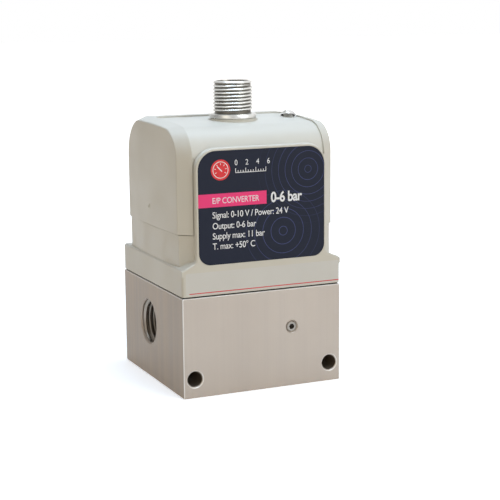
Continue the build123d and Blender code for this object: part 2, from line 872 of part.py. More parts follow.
def pin_points():
    """Centres of the connector's pins."""
    angles = [math.radians(45 + 360 * i / pin_count) for i in range(pin_count)]
    return [(pin_circle * math.cos(a), connector_y + pin_circle * math.sin(a)) for a in angles]


def make_connector_insert():
    """Moulded insulating cup that holds the pins and lines the socket, with its coding rib."""
    axis = (0, connector_y)
    outer = connector_socket_radius - slip / 2
    rim = connector_top - insert_lining_drop
    insert = rod(outer, insert_low, insert_face, axis)
    insert += tube(outer, outer - insert_lining, insert_face - insert_lining, rim, axis)
    insert += slab(-pin_radius, pin_radius, connector_y - outer + insert_lining / 2,
                   connector_y - outer + 2 * insert_lining, insert_face, rim - insert_lining)
    for point in pin_points():
        insert -= rod(pin_radius, insert_low - 1, insert_face + 1, point)
    groove = 2 * connector_seal_wire
    cord_low = insert_face - insert_seal_depth
    cord_root = connector_socket_radius - groove / 2
    return insert - tube(connector_socket_radius + 1, cord_root, cord_low, cord_low + groove, axis)


def make_connector_pins():
    """Contact pins that run down to the circuit board."""
    pins = [rod(pin_radius, board_low, connector_top - pin_tip_below_rim, p) for p in pin_points()]
    return Compound([fillet(p.edges().sort_by(Axis.Z)[-1], pin_radius * 0.6) for p in pins])


def make_connector_seal():
    """Sealing ring between the insert and the shell."""
    height = insert_face - insert_seal_depth + connector_seal_wire
    return ring(connector_socket_radius, connector_seal_wire - seal_ease, height, (0, connector_y))


def make_connector_nut():
    """Flat hexagon nut that pulls the shell's flange onto the cover."""
    roof = crown_at(connector_y, crown_height) - recess_depth - cover_wall
    axis = (0, connector_y)
    high = min(roof, crown_at(connector_y - nut_across / 2, crown_height) - recess_depth - cover_wall) - slip
    nut = hexagon(nut_across, high - nut_thick, high, axis)
    return nut - rod(connector_thread_radius, high - nut_thick - 1, high + 1, axis)


def make_status_lens():
    """Clear domed lens with the light rod that stands over the lamp."""
    seat = crown_at(lens_y + lens_radius, crown_height) - recess_depth
    low = crown_at(lens_y - lens_radius, crown_height) - recess_depth
    sphere_radius = (lens_radius ** 2 + lens_rise ** 2) / (2 * lens_rise)
    dome = Pos(lens_x, lens_y, seat + lens_rise - sphere_radius) * Sphere(sphere_radius)
    cap = slab(lens_x - 5, lens_x + 5, lens_y - 5, lens_y + 5, seat, seat + 5)
    foot = rod(lens_radius, low, seat, (lens_x, lens_y))
    hollow = recess_core()
    rod_low = board_top + lamp_height + lamp_gap
    return (dome & cap) + (foot - hollow) + rod(lens_rod_radius, rod_low, seat, (lens_x, lens_y))


def make_status_lamp():
    """Square lamp chip on the circuit board under the light rod."""
    half = lamp_side / 2
    return slab(lens_x - half, lens_x + half, lens_y - half, lens_y + half,
                board_top, board_top + lamp_height)


def make_circuit_board():
    """Control board on the housing's standoffs, pierced for pins and screws."""
    board = slab(-board_half_x, board_half_x, board_front_y, board_back_y, board_low, board_top)
    for point in standoff_points:
        board -= rod(board_screw_radius + slip, board_low - 1, board_top + 1, point)
    for point in pin_points():
        board -= rod(pin_radius, board_low - 1, board_top + 1, point)
    for point in sensor_lead_points():
        board -= rod(sensor_lead_radius, board_low - 1, board_top + 1, point)
    return board


def chip(x, y, wide, deep, tall):
    """Square chip on the control board, given by its centre and size."""
    return slab(x - wide / 2, x + wide / 2, y - deep / 2, y + deep / 2, board_top, board_top + tall)


def make_board_components():
    """Chips and capacitors soldered to the control board."""
    back = standoff_back_y - chip_side + board_thick / 2
    front = standoff_front_y + driver_deep
    parts = [
        chip(-chip_spacing, back, chip_side, chip_side, chip_thick),
        chip(chip_spacing, back, driver_deep, chip_side, chip_thick + seat_gap),
        chip(chip_spacing / 4, back + capacitor_radius, driver_wide, driver_deep, chip_thick),
        chip(-chip_spacing, front, driver_wide, driver_wide, chip_thick),
        chip(chip_spacing, front, driver_wide, driver_wide / 2, chip_thick),
    ]
    capacitor_at = (-chip_spacing / 3, board_back_y - driver_wide)
    parts.append(rod(capacitor_radius, board_top, board_top + capacitor_height, capacitor_at))
    return Compound(parts)


def make_board_screws():
    """Pan-head screws that hold the control board down."""
    screws = []
    for point in standoff_points:
        shank = rod(board_screw_radius, board_low - board_screw_length + screw_tip_gap, board_top, point)
        head = rod(board_screw_radius * 2, board_top, board_top + board_screw_head, point)
        screws.append(shank + fillet(head.edges().sort_by(Axis.Z)[-1], board_screw_head / 2))
    return Compound(screws)


def pilot_screw_points():
    """Screw places of the two pilot valves, front and back of each base."""
    reach_x = pilot_base_x / 2 - pilot_screw_inset_x
    reach_y = pilot_base_y / 2 - pilot_screw_inset_y
    return [(side * pilot_x + end * reach_x, pilot_y + end * reach_y) for side in (-1, 1) for end in (-1, 1)]


def pilot_heights():
    """Heights of the pilot valve's base top, yoke top, plunger bottom and core bottom."""
    base_top = deck_top + pilot_base_height
    yoke_top = base_top + yoke_height
    plunger_bottom = deck_top + plunger_low
    core_bottom = yoke_top - core_length
    return base_top, yoke_top, plunger_bottom, core_bottom


def make_pilot_base(side):
    """Moulded foot of a pilot valve with its two air ways and the seat nozzle."""
    base_top, yoke_top, plunger_bottom, core_bottom = pilot_heights()
    x = side * pilot_x
    axis = (x, pilot_y)
    base = slab(x - pilot_base_x / 2, x + pilot_base_x / 2, pilot_y - pilot_base_y / 2,
                pilot_y + pilot_base_y / 2, deck_top, base_top)
    base = fillet(base.edges().filter_by(Axis.Z), pilot_base_round)
    way_in = deck_top + pilot_way_low
    way_out = deck_top + pilot_way_high
    floor = way_in + pilot_way_low
    base -= rod(core_radius + slide_fit * 2, floor, base_top + 1, axis)
    base += tube(nozzle_radius, nozzle_bore, floor, plunger_bottom - seat_gap, axis)
    base -= rod(nozzle_bore, way_in - nozzle_bore, plunger_bottom, axis)
    inlet_y = pilot_y + pilot_base_y / 4
    outlet_y = pilot_y - pilot_base_y / 4
    base -= rod(nozzle_bore, deck_top - 1, way_in + nozzle_bore, (x, inlet_y))
    base -= bar_y(cross_bore, pilot_y, inlet_y, x, way_in)
    base -= rod(nozzle_bore, deck_top - 1, way_out + nozzle_bore, (x, outlet_y))
    base -= bar_y(cross_bore, outlet_y, pilot_y - core_radius + cutter_over, x, way_out)
    for point in pilot_screw_points():
        base -= rod(pilot_screw_radius + slip, deck_top - 1, base_top + 1, point)
    return base


def make_pilot_yoke(side):
    """Bent steel frame that closes the magnetic path around the coil."""
    base_top, yoke_top, plunger_bottom, core_bottom = pilot_heights()
    x = side * pilot_x
    outer = slab(x - yoke_half, x + yoke_half, pilot_y - yoke_width / 2, pilot_y + yoke_width / 2,
                 base_top, yoke_top)
    outer = fillet([e for e in outer.edges().filter_by(Axis.Y) if e.center().Z > base_top + 1], yoke_thick)
    inner = slab(x - yoke_half + yoke_thick, x + yoke_half - yoke_thick, pilot_y - yoke_width,
                 pilot_y + yoke_width, base_top + yoke_thick, yoke_top - yoke_thick)
    yoke = outer - inner
    return yoke - rod(core_radius + slide_fit * 2, base_top - 1, yoke_top + 1, (x, pilot_y))


def make_pilot_coil(side):
    """Wound coil on its flanged bobbin."""
    base_top, yoke_top, plunger_bottom, core_bottom = pilot_heights()
    low = base_top + yoke_thick
    high = yoke_top - yoke_thick
    inner = core_radius + slide_fit * 2
    points = [
        (inner, low),
        (coil_radius, low),
        (coil_radius, low + coil_cheek),
        (coil_radius - coil_winding_drop, low + coil_cheek),
        (coil_radius - coil_winding_drop, high - coil_cheek),
        (coil_radius, high - coil_cheek),
        (coil_radius, high),
        (inner, high),
    ]
    return turned(points, (side * pilot_x, pilot_y))


def make_pilot_core(side):
    """Fixed steel core at the top of the coil, with its riveted head."""
    base_top, yoke_top, plunger_bottom, core_bottom = pilot_heights()
    axis = (side * pilot_x, pilot_y)
    inner = core_radius + slide_fit * 2
    core = rod(inner, core_bottom, yoke_top, axis)
    core += rod(core_radius * 1.5, yoke_top, yoke_top + core_head_thick, axis)
    pocket = pilot_spring_radius + pilot_spring_wire + slip
    return core - rod(pocket, core_bottom - 1, core_bottom + pilot_spring_pocket, axis)


def make_pilot_plunger(side):
    """Sliding steel plunger with a pocket for its spring."""
    base_top, yoke_top, plunger_bottom, core_bottom = pilot_heights()
    axis = (side * pilot_x, pilot_y)
    high = core_bottom - plunger_stroke - seat_gap
    plunger = rod(core_radius + slide_fit, plunger_bottom, high, axis)
    pocket = pilot_spring_radius + pilot_spring_wire + slip
    return plunger - rod(pocket, high - plunger_pocket, high + 1, axis)


def make_pilot_spring(side):
    """Return spring between the plunger and the fixed core."""
    base_top, yoke_top, plunger_bottom, core_bottom = pilot_heights()
    high = core_bottom - plunger_stroke - seat_gap
    return coil_spring(pilot_spring_radius, pilot_spring_wire, high - plunger_pocket,
                       core_bottom + pilot_spring_pocket, 4, (side * pilot_x, pilot_y))


def make_pilot_screws():
    """Small screws that hold both pilot valves to the deck."""
    base_top = deck_top + pilot_base_height
    screws = []
    for point in pilot_screw_points():
        shank = rod(pilot_screw_radius, deck_top - pilot_screw_reach + pilot_screw_tip_gap, base_top, point)
        screws.append(shank + rod(pilot_screw_radius * 1.5, base_top, base_top + pilot_screw_head, point))
    return Compound(screws)


def sensor_lead_points():
    """Places of the sensor's solder leads."""
    reach = sensor_side / 2 - sensor_lead_inset
    return [(test_plug_x + end * reach, feed_y + reach + sensor_lead_shift) for end in (-1, 1)]


def make_pressure_sensor():
    """Sensor body with the nozzle that plugs into the deck."""
    low = deck_top + sensor_foot
    body = Pos(test_plug_x, feed_y, low) * Box(sensor_side, sensor_side, sensor_height, align=bottom)
    body = fillet(body.edges().filter_by(Axis.Z), sensor_round)
    body += rod(sensor_nozzle_radius, deck_top - sensor_nozzle_length, low, (test_plug_x, feed_y))
    body -= rod(sensor_bore, deck_top - sensor_nozzle_length - 1, low + 1, (test_plug_x, feed_y))
    for point in sensor_lead_points():
        body -= rod(sensor_lead_radius, low + sensor_lead_start, low + sensor_height + 1, point)
    return body


def make_sensor_seal():
    """Ring that seals the sensor's nozzle in the deck."""
    height = deck_top - sensor_nozzle_length / 2
    radius = sensor_nozzle_radius + sensor_seal_wire
    return ring(radius, sensor_seal_wire - seal_ease / 2, height, (test_plug_x, feed_y))


def make_sensor_leads():
    """Leads from the sensor up to the control board."""
    low = deck_top + sensor_foot + sensor_lead_start
    return Compound([rod(sensor_lead_radius, low, board_top, point) for point in sensor_lead_points()])


def build_parts():
    """Every piece of the converter by its node name."""
    axis = (0, valve_y)
    parts = {
        "body_block": make_body_block(),
        "seal_gasket": make_seal_gasket(),
        "base_housing": make_base_housing(),
        "cover_shell": make_cover_shell(),
        "cover_seal": make_cover_seal(),
        "front_label": make_front_label(),
        "tie_screws": make_tie_screws(),
        "test_plug_screw": make_test_plug(),
        "bottom_plug": make_bottom_plug(),
        "bottom_plug_seal": ring(plug_radius - plug_seal_wire, plug_seal_wire - seal_ease / 2,
                                 plug_seal_height, axis),
        "stem_seal": ring(stem_radius + stem_seal_wire, stem_seal_wire - seal_ease, stem_seal_height, axis),
        "poppet": make_poppet(),
        "poppet_seal": make_poppet_seal(),
        "poppet_spring": coil_spring(guide_radius + 2 * poppet_spring_wire, poppet_spring_wire,
                                     plug_top, head_low, 3, axis),
        "piston": make_piston(),
        "piston_top_plate": make_piston_top_plate(),
        "piston_nut": make_piston_nut(),
        "diaphragm": make_diaphragm(),
        "connector_shell": make_connector_shell(),
        "connector_insert": make_connector_insert(),
        "connector_pins": make_connector_pins(),
        "connector_seal": make_connector_seal(),
        "connector_nut": make_connector_nut(),
        "status_lens": make_status_lens(),
        "status_lamp": make_status_lamp(),
        "circuit_board": make_circuit_board(),
        "board_components": make_board_components(),
        "board_screws": make_board_screws(),
        "pilot_screws": make_pilot_screws(),
        "pressure_sensor": make_pressure_sensor(),
        "sensor_seal": make_sensor_seal(),
        "sensor_leads": make_sensor_leads(),
    }
    for name, side in (("fill", -1), ("vent", 1)):
        parts[name + "_valve_base"] = make_pilot_base(side)
        parts[name + "_valve_yoke"] = make_pilot_yoke(side)
        parts[name + "_valve_coil"] = make_pilot_coil(side)
        parts[name + "_valve_core"] = make_pilot_core(side)
        parts[name + "_valve_plunger"] = make_pilot_plunger(side)
        parts[name + "_valve_spring"] = make_pilot_spring(side)
    return parts


def main():
    """Write one STEP file per piece."""
    os.makedirs("parts", exist_ok=True)
    for node, shape in build_parts().items():
        export_step(shape, f"parts/{node}.step")


if __name__ == "__main__":
    main()
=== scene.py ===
import json
import math

import bmesh
import bpy
from bpy.props import BoolProperty, FloatProperty, FloatVectorProperty, IntProperty, PointerProperty
from mathutils import Matrix, Vector


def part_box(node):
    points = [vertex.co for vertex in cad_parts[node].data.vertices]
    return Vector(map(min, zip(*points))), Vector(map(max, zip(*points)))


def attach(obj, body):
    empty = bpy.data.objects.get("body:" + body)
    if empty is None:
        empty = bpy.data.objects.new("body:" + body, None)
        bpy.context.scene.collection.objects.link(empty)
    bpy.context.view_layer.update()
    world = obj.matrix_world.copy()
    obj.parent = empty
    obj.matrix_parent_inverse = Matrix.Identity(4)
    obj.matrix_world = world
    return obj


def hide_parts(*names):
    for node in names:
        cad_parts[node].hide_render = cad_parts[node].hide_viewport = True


bl_info = {
    "name": "Electro-pneumatic converter",
    "version": (1, 0, 0),
    "blender": (4, 5, 0),
    "location": "3D View > Sidebar > Converter",
    "description": "Dresses the electro-pneumatic converter: finishes, threads, printed label and studio",
    "category": "Object",
}

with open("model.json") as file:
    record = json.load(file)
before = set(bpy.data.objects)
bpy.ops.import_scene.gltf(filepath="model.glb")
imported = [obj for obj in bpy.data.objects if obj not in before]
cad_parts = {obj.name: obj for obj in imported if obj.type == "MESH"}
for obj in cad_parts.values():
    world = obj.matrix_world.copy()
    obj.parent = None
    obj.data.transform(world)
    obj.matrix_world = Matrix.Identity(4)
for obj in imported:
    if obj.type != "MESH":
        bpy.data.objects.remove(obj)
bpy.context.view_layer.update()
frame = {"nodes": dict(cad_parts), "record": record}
BODY = "converter_body"
MM = 0.001


def srgb(red, green, blue):
    """Linear colour of a screen colour given from 0 to 255."""
    return tuple(((c / 255 + 0.055) / 1.055) ** 2.4 if c > 10 else c / 255 / 12.92 for c in (red, green, blue))


def length(text, default, low=0.0):
    """Length property in metres."""
    return FloatProperty(name=text, description=text, default=default, min=low, precision=5, unit="LENGTH")


def share(text, default, high=1.0):
    """Plain factor property."""
    return FloatProperty(name=text, description=text, default=default, min=0.0, max=high, subtype="FACTOR")


def colour(text, default):
    """Colour property."""
    return FloatVectorProperty(name=text, description=text, default=default, size=3, min=0, max=1, subtype="COLOR")


class BlockSettings(bpy.types.PropertyGroup):
    """Finish of the aluminium valve block, with its painted side shade and painted edge highlight."""

    tint: colour("Anodised colour of the block", srgb(179, 167, 155))
    roughness: share("Roughness of the brushed faces", 0.42)
    streaks: share("Contrast of the brush streaks", 0.3)
    # Painted shade: darker colour given to the block's left and right faces against the front
    painted_side_shade: colour("Shade that the milled sides have against the front", (0.8, 0.72, 0.62))
    # Strength of the painted highlight along the block's edges and round its hole mouths, standing in for light on
    # their chamfers
    painted_edge_light: share("Brightness added along bare edges and hole mouths", 0.5)


class HousingSettings(bpy.types.PropertyGroup):
    """Finish of the moulded housing and cover."""

    tint: colour("Moulded plastic colour", srgb(212, 208, 197))
    roughness: share("Roughness of the moulding", 0.42)
    texture_depth: length("Depth of the mould texture", 0.012 * MM)


class ConnectorSettings(bpy.types.PropertyGroup):
    """Sizes of the connector's thread."""

    pitch: length("Thread pitch", 1.0 * MM)
    crest: length("Radius at the thread's crest", 5.93 * MM)
    root: length("Radius at the thread's root", 5.36 * MM)
    thread_low: length("Height where the thread starts", 79.3 * MM)
    thread_high: length("Height where the thread ends", 88.2 * MM)
    # Painted shade: darker colour for the thread's grooves and the shell's bore
    painted_hollow_shade: colour("Colour of the nickel in the thread's grooves", srgb(104, 100, 92))
    steps: IntProperty(name="Steps in a turn", description="Faces round the thread in one turn", default=64, min=12)


class PortSettings(bpy.types.PropertyGroup):
    """Sizes of the threads in the air ports."""

    side_pitch: length("Pitch of the side ports' thread", 1.337 * MM)
    side_crest: length("Radius at the side ports' crest", 5.78 * MM)
    exhaust_pitch: length("Pitch of the exhaust port's thread", 0.907 * MM)
    exhaust_crest: length("Radius at the exhaust port's crest", 4.32 * MM)


class LabelSettings(bpy.types.PropertyGroup):
    """Colours and sizes of the printed label and strip."""

    ground: colour("Ground colour of the label", srgb(22, 27, 44))
    lines: colour("Colour of the fine line pattern", srgb(74, 82, 128))
    band: colour("Colour of the band", srgb(247, 72, 134))
    ink: colour("Colour of the white ink", srgb(240, 242, 246))
    mark: colour("Colour of the dial and arrow marks", srgb(226, 44, 50))
    rule: colour("Colour of the thin rule on the strip", srgb(206, 74, 74))
    strip: colour("Colour of the strip film", srgb(212, 210, 205))
    band_left: FloatProperty(name="Band's left end", description="Band's left end", default=-19.8 * MM, unit="LENGTH")
    band_right: FloatProperty(name="Band's right end", description="Band's right end", default=1.27 * MM,
                              unit="LENGTH")
    band_low: length("Band's lower edge", 54.75 * MM)
    band_high: length("Band's upper edge", 58.55 * MM)


class StageSettings(bpy.types.PropertyGroup):
    """Camera, lamps and floor."""

    lens: FloatProperty(name="Focal length", description="Focal length in millimetres", default=95.622)
    place: FloatVectorProperty(name="Camera place", description="Where the camera stands", size=3,
                               default=(-0.15698, -0.36599, 0.10971), subtype="TRANSLATION")
    turn: FloatProperty(name="Turn about the upright", description="Turn about the upright", default=-24.154)
    tilt: FloatProperty(name="Tilt down", description="Tilt down, in degrees", default=10.316)
    roll: FloatProperty(name="Roll", description="Roll, in degrees", default=-0.509)
    room_tone: colour("Colour and strength of the room's even light on dull surfaces", (0.17, 0.12, 0.07))
    room_dark: share("Brightness of the room's dark side, left of the camera", 0.3)
    key_level: FloatProperty(name="Key light", description="Power of the key light in watts", default=2.45)
    key_tone: colour("Colour of the key light", (0.93, 0.98, 1.0))
    top_level: FloatProperty(name="Top light", description="Power of the top light in watts", default=5.0)
    top_tone: colour("Colour of the top light", (0.6, 0.78, 1.0))
    fill_level: FloatProperty(name="Fill light", description="Power of the fill light in watts", default=0.72)
    fill_tone: colour("Colour of the fill light", (1.0, 0.93, 0.76))
    floor_tone: colour("Floor colour in the view", (0.9, 0.9, 0.9))
    floor_bounce: colour("Colour that the floor throws back on the converter", (0.72, 0.62, 0.5))
    floor_glow: share("Extra brightness of the near floor in the view and in reflections", 0.45)
    far_glow: share("Extra brightness of the far floor in the view and in reflections", 1.0)
    show_floor: BoolProperty(name="Floor", description="Put a floor under the converter", default=True)


class Tree:
    """Short way to place and join shader nodes."""

    def __init__(self, tree):
        self.tree = tree

    def add(self, kind, **values):
        """Place a node and set its properties; inputs are given by name with underscores."""
        node = self.tree.nodes.new(kind)
        for name, value in values.items():
            if hasattr(node, name):
                setattr(node, name, value)
            else:
                self.feed(value, node.inputs[name.replace("_", " ")])
        return node

    def feed(self, source, socket):
        """Join a socket, or set its plain value."""
        if isinstance(source, bpy.types.NodeSocket):
            self.tree.links.new(source, socket)
        else:
            socket.default_value = source

    def math(self, operation, *terms, clamp=False):
        """Math node over two or three terms."""
        node = self.tree.nodes.new("ShaderNodeMath")
        node.operation = operation
        node.use_clamp = clamp
        for term, socket in zip(terms, node.inputs):
            self.feed(term, socket)
        return node.outputs[0]

    def blend(self, factor, first, second, how="MIX"):
        """Blend of two colours."""
        node = self.tree.nodes.new("ShaderNodeMix")
        node.data_type = "RGBA"
        node.blend_type = how
        node.clamp_factor = True
        for term, socket in zip((factor, first, second), (node.inputs[0], node.inputs[6], node.inputs[7])):
            self.feed(rgba(term) if isinstance(term, tuple) else term, socket)
        return node.outputs[2]

    def rescale(self, value, low, high, to_low, to_high):
        """Map a value from one range to another, held at its ends."""
        node = self.tree.nodes.new("ShaderNodeMapRange")
        for term, socket in zip((value, low, high, to_low, to_high), node.inputs):
            self.feed(term, socket)
        return node.outputs[0]

    def place(self):
        """Position on the piece as three values."""
        coords = self.tree.nodes.new("ShaderNodeTexCoord")
        split = self.tree.nodes.new("ShaderNodeSeparateXYZ")
        self.tree.links.new(coords.outputs["Object"], split.inputs[0])
        return split.outputs[0], split.outputs[1], split.outputs[2]

    def between(self, value, low, high):
        """Mask that is 1 between two values."""
        return self.math("MULTIPLY", self.math("GREATER_THAN", value, low), self.math("LESS_THAN", value, high))


def rgba(tone):
    """Colour with full opacity."""
    return (*tone, 1.0)[:4]


def new_group(name, inputs, outputs):
    """Shader node group with named inputs and outputs, made once."""
    group = bpy.data.node_groups.new(name, "ShaderNodeTree")
    for text, kind, default in inputs:
        socket = group.interface.new_socket(name=text, in_out="INPUT", socket_type=kind)
        socket.default_value = default
    for text, kind in outputs:
        group.interface.new_socket(name=text, in_out="OUTPUT", socket_type=kind)
    tree = Tree(group)
    return group, tree, group.nodes.new("NodeGroupInput"), group.nodes.new("NodeGroupOutput")


def noise(tree, scale, detail=2.0, stretch=None, vector=None):
    """Noise over the piece, stretched along an axis if asked."""
    if vector is None:
        vector = tree.add("ShaderNodeTexCoord").outputs["Object"]
    if stretch is not None:
        mapping = tree.add("ShaderNodeMapping")
        tree.feed(vector, mapping.inputs["Vector"])
        tree.feed(stretch, mapping.inputs["Scale"])
        vector = mapping.outputs[0]
    texture = tree.add("ShaderNodeTexNoise")
    tree.feed(vector, texture.inputs["Vector"])
    tree.feed(scale, texture.inputs["Scale"])
    texture.inputs["Detail"].default_value = detail
    return texture.outputs[0]


def mottle_group():
    """Soft uneven colour, as on any handled or moulded surface."""
    name = "Soft mottling"
    if name in bpy.data.node_groups:
        return bpy.data.node_groups[name]
    group, tree, inputs, outputs = new_group(
        name,
        [("Color", "NodeSocketColor", (0.8, 0.8, 0.8, 1)), ("Scale", "NodeSocketFloat", 60.0),
         ("Contrast", "NodeSocketFloat", 0.06)],
        [("Color", "NodeSocketColor")])
    cloud = noise(tree, inputs.outputs["Scale"], 3.0)
    low = tree.math("SUBTRACT", 1.0, inputs.outputs["Contrast"])
    level = tree.rescale(cloud, 0.3, 0.7, low, 1.0)
    tone = tree.add("ShaderNodeCombineXYZ")
    for socket in tone.inputs:
        tree.feed(level, socket)
    tree.feed(tree.blend(1.0, inputs.outputs["Color"], tone.outputs[0], "MULTIPLY"), outputs.inputs[0])
    return group


def grain_group():
    """Fine raised grain of a moulded or blasted surface."""
    name = "Fine grain"
    if name in bpy.data.node_groups:
        return bpy.data.node_groups[name]
    group, tree, inputs, outputs = new_group(
        name, [("Scale", "NodeSocketFloat", 3000.0)], [("Height", "NodeSocketFloat")])
    fine = noise(tree, inputs.outputs["Scale"], 2.0)
    coarse = noise(tree, tree.math("MULTIPLY", inputs.outputs["Scale"], 0.27), 1.0)
    height = tree.math("ADD", tree.math("MULTIPLY", fine, 0.6), tree.math("MULTIPLY", coarse, 0.4))
    tree.feed(height, outputs.inputs[0])
    return group


def streak_group():
    """Straight streaks that run upright, as left by brushing or drawing."""
    name = "Upright streaks"
    if name in bpy.data.node_groups:
        return bpy.data.node_groups[name]
    group, tree, inputs, outputs = new_group(
        name, [("Fine", "NodeSocketFloat", 1500.0), ("Broad", "NodeSocketFloat", 260.0)],
        [("Level", "NodeSocketFloat")])
    fine = noise(tree, inputs.outputs["Fine"], 3.0, stretch=(1.0, 1.0, 0.012))
    broad = noise(tree, inputs.outputs["Broad"], 2.0, stretch=(1.0, 1.0, 0.03))
    level = tree.math("ADD", tree.math("MULTIPLY", fine, 0.5), tree.math("MULTIPLY", broad, 0.5))
    tree.feed(tree.rescale(level, 0.35, 0.65, 0.0, 1.0), outputs.inputs[0])
    return group


def use(tree, group, **values):
    """Place a group in a material with its own values."""
    node = tree.tree.nodes.new("ShaderNodeGroup")
    node.node_tree = group
    for name, value in values.items():
        tree.feed(value, node.inputs[name])
    return node


def new_material(name):
    """Empty material with its Principled shader."""
    material = bpy.data.materials.new(name)
    material.use_nodes = True
    shader = material.node_tree.nodes["Principled BSDF"]
    return material, Tree(material.node_tree), shader


def finish(name, tone, roughness, metallic=0.0, contrast=0.08, mottle=60.0, grain=3000.0, depth=0.01 * MM, **plain):
    """Everyday finish: mottled colour, slightly uneven roughness and a fine grain."""
    material, tree, shader = new_material(name)
    mottled = use(tree, mottle_group(), Color=rgba(tone), Scale=mottle, Contrast=contrast)
    tree.feed(mottled.outputs[0], shader.inputs["Base Color"])
    rough = tree.rescale(noise(tree, mottle * 3, 2.0), 0.3, 0.7, roughness - 0.05, roughness + 0.05)
    tree.feed(rough, shader.inputs["Roughness"])
    bump = tree.add("ShaderNodeBump")
    bump.inputs["Distance"].default_value = depth
    tree.feed(use(tree, grain_group(), Scale=grain).outputs[0], bump.inputs["Height"])
    tree.feed(bump.outputs[0], shader.inputs["Normal"])
    shader.inputs["Metallic"].default_value = metallic
    for key, value in plain.items():
        shader.inputs[key.replace("_", " ")].default_value = value
    return material


def paint(node, material):
    """Give a CAD node its finish."""
    slots = frame["nodes"][node].material_slots
    if not slots:
        frame["nodes"][node].data.materials.append(material)
    for slot in slots:
        slot.material = material


def new_piece(name, mesh, material):
    """Piece that rides on the converter's body."""
    piece = bpy.data.objects.new(name, mesh)
    bpy.context.scene.collection.objects.link(piece)
    piece.data.materials.append(material)
    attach(piece, BODY)
    return piece


def mesh_from(name, points, faces, smooth_angle=35.0):
    """Mesh with smooth shading up to an angle."""
    mesh = bpy.data.meshes.new(name)
    mesh.from_pydata([tuple(p) for p in points], [], faces)
    tidy = bmesh.new()
    tidy.from_mesh(mesh)
    bmesh.ops.remove_doubles(tidy, verts=tidy.verts, dist=1e-7)
    bmesh.ops.recalc_face_normals(tidy, faces=tidy.faces)
    tidy.to_mesh(mesh)
    tidy.free()
    mesh.shade_smooth()
    mesh.set_sharp_from_angle(angle=math.radians(smooth_angle))
    return mesh


def turned_mesh(name, profile, steps):
    """Closed turned form about Z from (radius, height) points."""
    count = len(profile)
    points = []
    faces = []
    for step in range(steps):
        angle = 2 * math.pi * step / steps
        for radius, height in profile:
            points.append((radius * math.cos(angle), radius * math.sin(angle), height))
    for step in range(steps):
        here = step * count
        there = (step + 1) % steps * count
        for i in range(count):
            j = (i + 1) % count
            faces.append((here + i, there + i, there + j, here + j))
    return points, faces


def thread_mesh(root, crest, pitch, low, high, steps):
    """Helical ridge about Z that fades in and out over its first and last half turn."""
    turns = (high - low) / pitch - 1
    total = int(turns * steps)
    points = []
    faces = []
    for step in range(total + 1):
        angle = 2 * math.pi * step / steps
        middle = low + pitch / 2 + pitch * step / steps
        fade = min(1.0, step / (steps / 4), (total - step) / (steps / 4))
        top = root + (crest - root) * fade
        brow = root + (crest - root) * fade * 0.86
        sink = root - (crest - root) * 0.15
        for radius, offset in ((sink, -0.5), (brow, -0.17), (top, -0.07), (top, 0.07), (brow, 0.17), (sink, 0.5)):
            height = middle + offset * pitch
            points.append((radius * math.cos(angle), radius * math.sin(angle), height))
    count = 6
    for step in range(total):
        here = step * count
        for i in range(count):
            j = (i + 1) % count
            faces.append((here + i, here + count + i, here + count + j, here + j))
    faces.append(tuple(reversed(range(count))))
    end = total * count
    faces.append(tuple(range(end, end + count)))
    return points, faces


def moved(points, matrix):
    """Points after a move and turn."""
    return [matrix @ Vector(p) for p in points]


